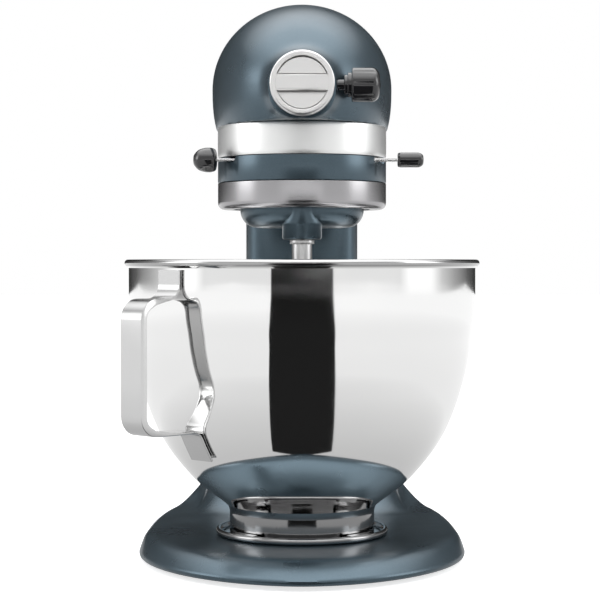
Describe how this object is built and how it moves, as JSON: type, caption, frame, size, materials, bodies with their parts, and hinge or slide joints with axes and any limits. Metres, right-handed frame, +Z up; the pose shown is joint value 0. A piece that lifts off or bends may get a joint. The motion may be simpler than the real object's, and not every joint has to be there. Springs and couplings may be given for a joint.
{
  "type": "stand mixer",
  "caption": "Tilt-head stand mixer with a planetary beater drive, geared motor head, front attachment hub, and a polished bowl with a handle that locks on the base.",
  "frame": {"origin": "centre of the footprint's bounding rectangle, on the table", "axes": "+Z up, -Y towards the front of the mixer, where the attachment hub and the bowl are, +X to the right when seen from the front"},
  "size_m": [0.228, 0.354, 0.362],
  "materials": {
    "paint": "satin metallic slate blue enamel",
    "polished_steel": "mirror polished",
    "satin_steel": "satin",
    "machined_steel": "machined",
    "cast_metal": "as cast",
    "black_plastic": "gloss",
    "rubber": "matt",
    "nylon": "matt",
    "copper": "drawn wire",
    "carbon": "matt",
    "circuit_board": "matt"
  },
  "bodies": {
    "base": {"base_casting": "paint", "bottom_cover": "black_plastic", "rubber_foot_1": "rubber", "rubber_foot_2": "rubber", "rubber_foot_3": "rubber", "rubber_foot_4": "rubber", "rubber_foot_5": "rubber", "column": "paint", "hinge_pin": "machined_steel", "height_screw": "machined_steel", "cord_gland": "rubber", "bowl_clamp_plate": "polished_steel", "plate_screw_1": "machined_steel", "plate_screw_2": "machined_steel", "plate_screw_3": "machined_steel"},
    "bowl": {"bowl": "polished_steel", "bowl_handle": "polished_steel", "bowl_foot": "polished_steel"},
    "head": {"upper_housing": "paint", "rear_cover": "paint", "rear_cover_screw": "machined_steel", "brush_cap_left": "black_plastic", "brush_cap_right": "black_plastic", "trim_band": "satin_steel", "lower_gear_case": "paint", "drip_ring": "polished_steel", "internal_ring_gear": "machined_steel", "hub_socket": "cast_metal", "motor_stator": "machined_steel", "field_coil_front": "copper", "field_coil_rear": "copper", "brush_holder_left": "black_plastic", "brush_holder_right": "black_plastic", "carbon_brush_left": "carbon", "carbon_brush_right": "carbon", "front_bearing": "cast_metal", "rear_bearing": "cast_metal", "speed_board": "circuit_board"},
    "planetary_drive": {"planetary": "paint", "centre_shaft": "machined_steel", "centre_gear": "machined_steel", "centre_bevel": "machined_steel"},
    "beater": {"beater_shaft": "satin_steel", "beater_collar": "satin_steel", "beater_pinion": "machined_steel", "beater_cross_pin": "machined_steel"},
    "worm_wheel_set": {"wheel_shaft": "machined_steel", "wheel_pinion": "machined_steel", "worm_wheel": "nylon"},
    "motor": {"motor_shaft": "machined_steel", "armature": "copper", "commutator": "copper", "cooling_fan": "black_plastic"},
    "hub_gear": {"hub_drive": "machined_steel"},
    "hub_cover": {"hub_cover": "polished_steel"},
    "attachment_knob": {"attachment_knob": "black_plastic"},
    "speed_lever": {"speed_lever_arm": "satin_steel", "speed_lever_knob": "black_plastic"},
    "lock_lever": {"lock_lever_arm": "satin_steel", "lock_lever_knob": "black_plastic"}
  },
  "joints": [
    {"name": "head_tilt", "type": "hinge", "parent": "base", "child": "head", "pos_m": [0, 0.123, 0.226], "axis": [-1, 0, 0], "range_deg": [0, 42]},
    {"name": "bowl_twist", "type": "hinge", "parent": "base", "child": "bowl", "pos_m": [0, -0.059, 0.02], "axis": [0, 0, 1], "range_deg": [0, 25]},
    {"name": "planetary_spin", "type": "hinge", "parent": "head", "child": "planetary_drive", "pos_m": [0, -0.059, 0.23], "axis": [0, 0, 1], "continuous": true},
    {"name": "beater_spin", "type": "hinge", "parent": "planetary_drive", "child": "beater", "pos_m": [0, -0.087, 0.2], "axis": [0, 0, 1], "continuous": true},
    {"name": "worm_wheel_spin", "type": "hinge", "parent": "head", "child": "worm_wheel_set", "pos_m": [0.0255, -0.02376, 0.306], "axis": [0, 0, 1], "continuous": true},
    {"name": "motor_spin", "type": "hinge", "parent": "head", "child": "motor", "pos_m": [0, 0.001, 0.306], "axis": [0, 1, 0], "continuous": true},
    {"name": "hub_spin", "type": "hinge", "parent": "head", "child": "hub_gear", "pos_m": [0, -0.099, 0.3], "axis": [0, 1, 0], "continuous": true},
    {"name": "hub_cover_pull", "type": "slide", "parent": "head", "child": "hub_cover", "axis": [0, -1, 0], "range_m": [0, 0.03]},
    {"name": "attachment_knob_out", "type": "slide", "parent": "head", "child": "attachment_knob", "axis": [1, 0, 0], "range_m": [0, 0.006]},
    {"name": "speed_lever_turn", "type": "hinge", "parent": "head", "child": "speed_lever", "pos_m": [0.03, -0.084, 0.2566], "axis": [0, 0, 1], "range_deg": [0, 30]},
    {"name": "lock_lever_turn", "type": "hinge", "parent": "head", "child": "lock_lever", "pos_m": [-0.03, -0.084, 0.2566], "axis": [0, 0, 1], "range_deg": [0, 30]}
  ],
  "couplings": [
    {"joint": "beater_spin", "follows": "planetary_spin", "ratio": -3.3333},
    {"joint": "worm_wheel_spin", "follows": "planetary_spin", "ratio": -3.1429},
    {"joint": "motor_spin", "follows": "planetary_spin", "ratio": -31.429},
    {"joint": "hub_spin", "follows": "planetary_spin", "ratio": -1.3333}
  ]
}
